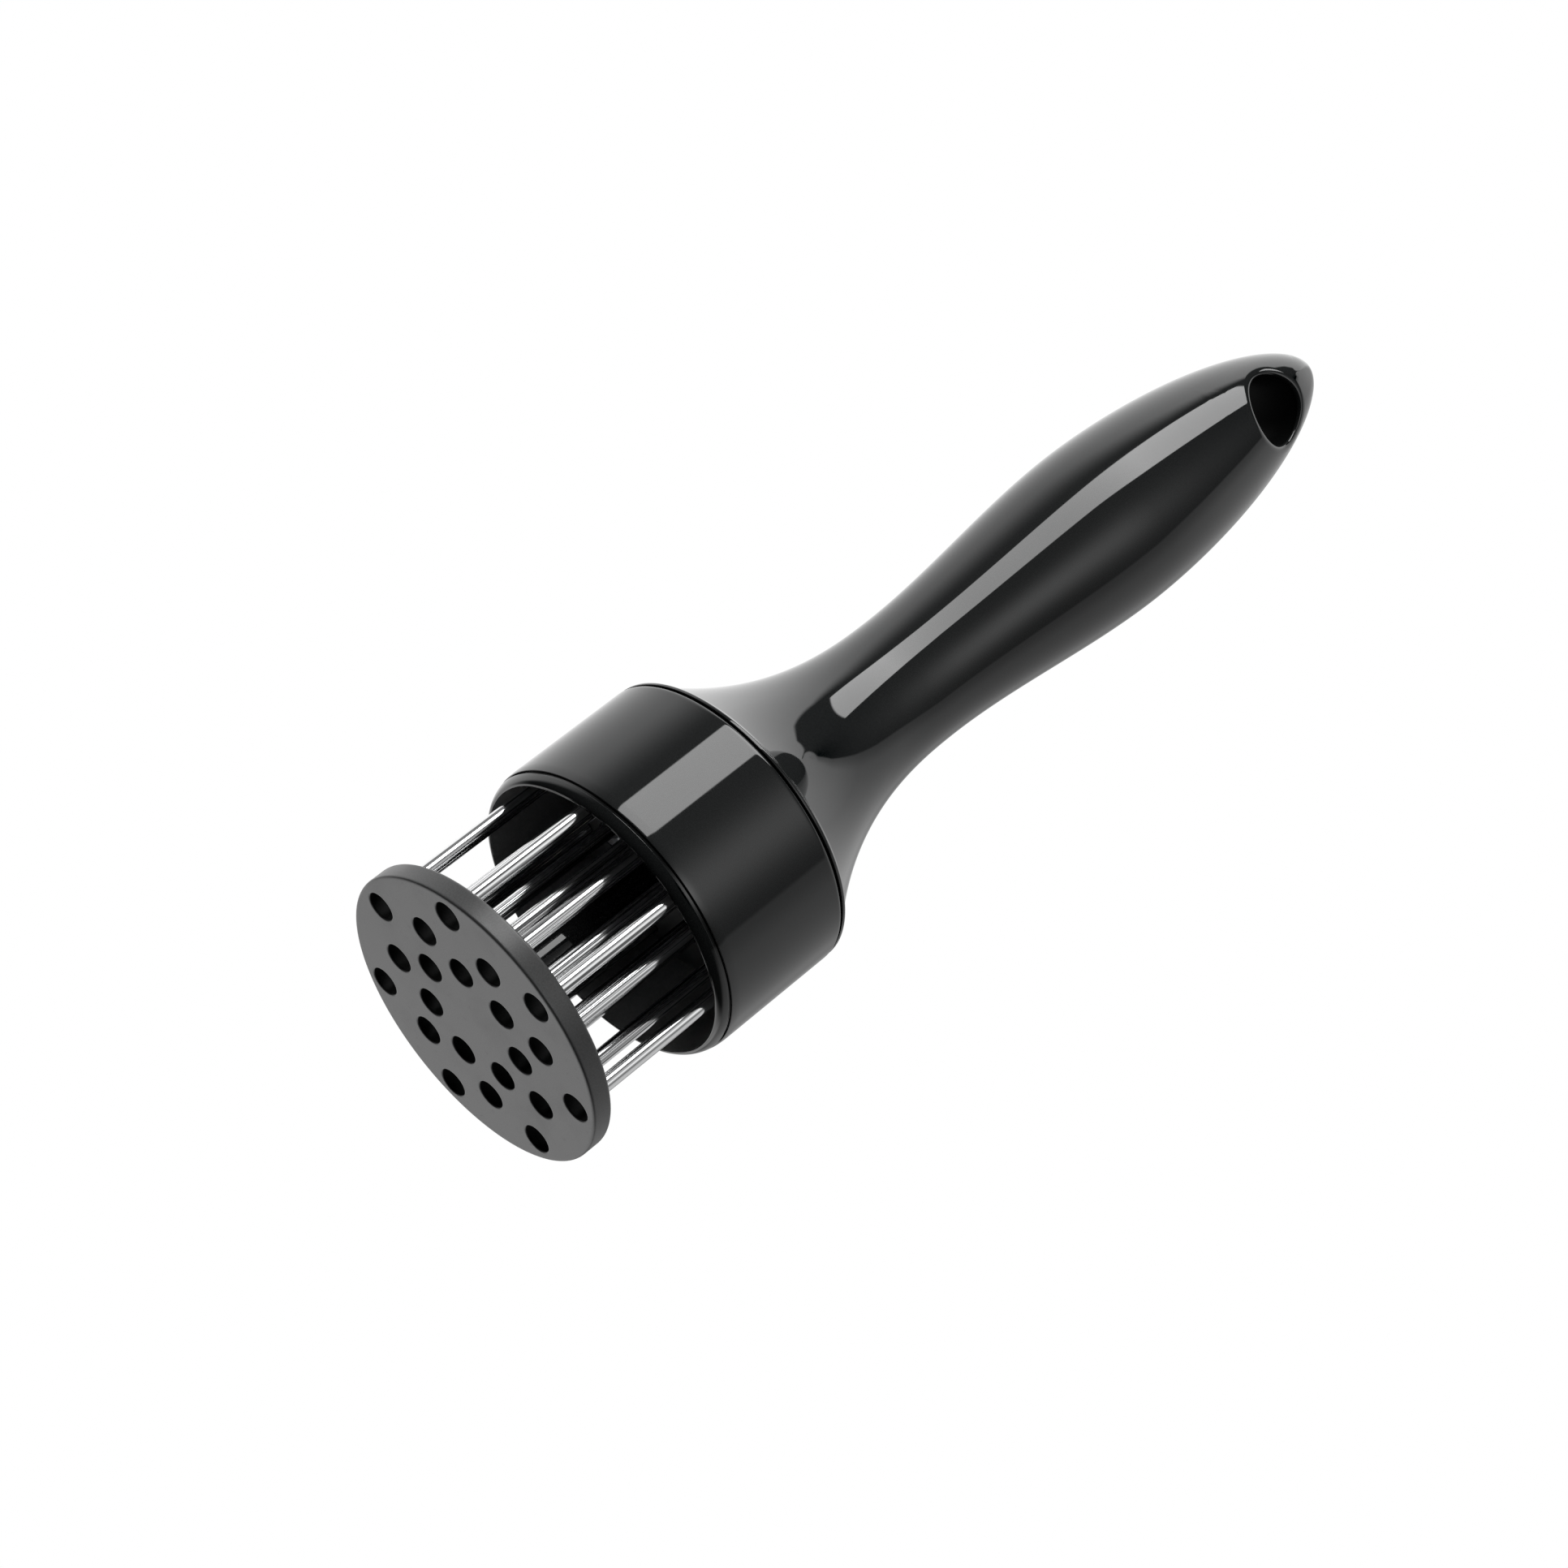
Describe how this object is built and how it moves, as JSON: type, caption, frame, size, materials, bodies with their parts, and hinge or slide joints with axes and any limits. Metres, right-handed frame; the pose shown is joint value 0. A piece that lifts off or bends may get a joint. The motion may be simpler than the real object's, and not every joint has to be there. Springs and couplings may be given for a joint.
{
  "type": "meat tenderizer",
  "caption": "Push-type needle meat tenderizer: a handle with a cup of fixed needles and a round spring-returned guard disc that slides back to bare their points.",
  "frame": {"origin": "centre of the guard disc's working face, on the surface that the tool stands on", "axes": "+Z along the handle, towards its hang hole; the hang hole runs along Y"},
  "size_m": [0.0502, 0.0502, 0.1905],
  "materials": {
    "gloss_black_abs": "high-gloss black moulded plastic",
    "satin_black_abs": "satin black moulded plastic",
    "needle_steel": "polished stainless steel",
    "plated_steel": "zinc-plated steel",
    "spring_steel": "drawn spring wire",
    "bush_nylon": "natural nylon"
  },
  "bodies": {
    "handle_assembly": {"handle": "gloss_black_abs", "collar": "gloss_black_abs", "needle_plate": "satin_black_abs", "clamp_plate": "plated_steel", "guide_bush": "bush_nylon", "clamp_screw_1": "plated_steel", "clamp_screw_2": "plated_steel", "clamp_screw_3": "plated_steel", "return_spring": "spring_steel", "needle_01": "needle_steel", "needle_02": "needle_steel", "needle_03": "needle_steel", "needle_04": "needle_steel", "needle_05": "needle_steel", "needle_06": "needle_steel", "needle_07": "needle_steel", "needle_08": "needle_steel", "needle_09": "needle_steel", "needle_10": "needle_steel", "needle_11": "needle_steel", "needle_12": "needle_steel", "needle_13": "needle_steel", "needle_14": "needle_steel", "needle_15": "needle_steel", "needle_16": "needle_steel", "needle_17": "needle_steel", "needle_18": "needle_steel", "needle_19": "needle_steel", "needle_20": "needle_steel", "needle_21": "needle_steel"},
    "guard": {"guard_disc": "satin_black_abs", "guard_stem": "gloss_black_abs", "stop_washer": "plated_steel", "stop_screw": "plated_steel"}
  },
  "joints": [
    {"name": "guard_slide", "type": "slide", "parent": "handle_assembly", "child": "guard", "axis": [0, 0, 1], "range_m": [0, 0.022], "stiffness_N_per_m": 400, "springref_m": -0.02, "deforming": ["return_spring"]}
  ]
}
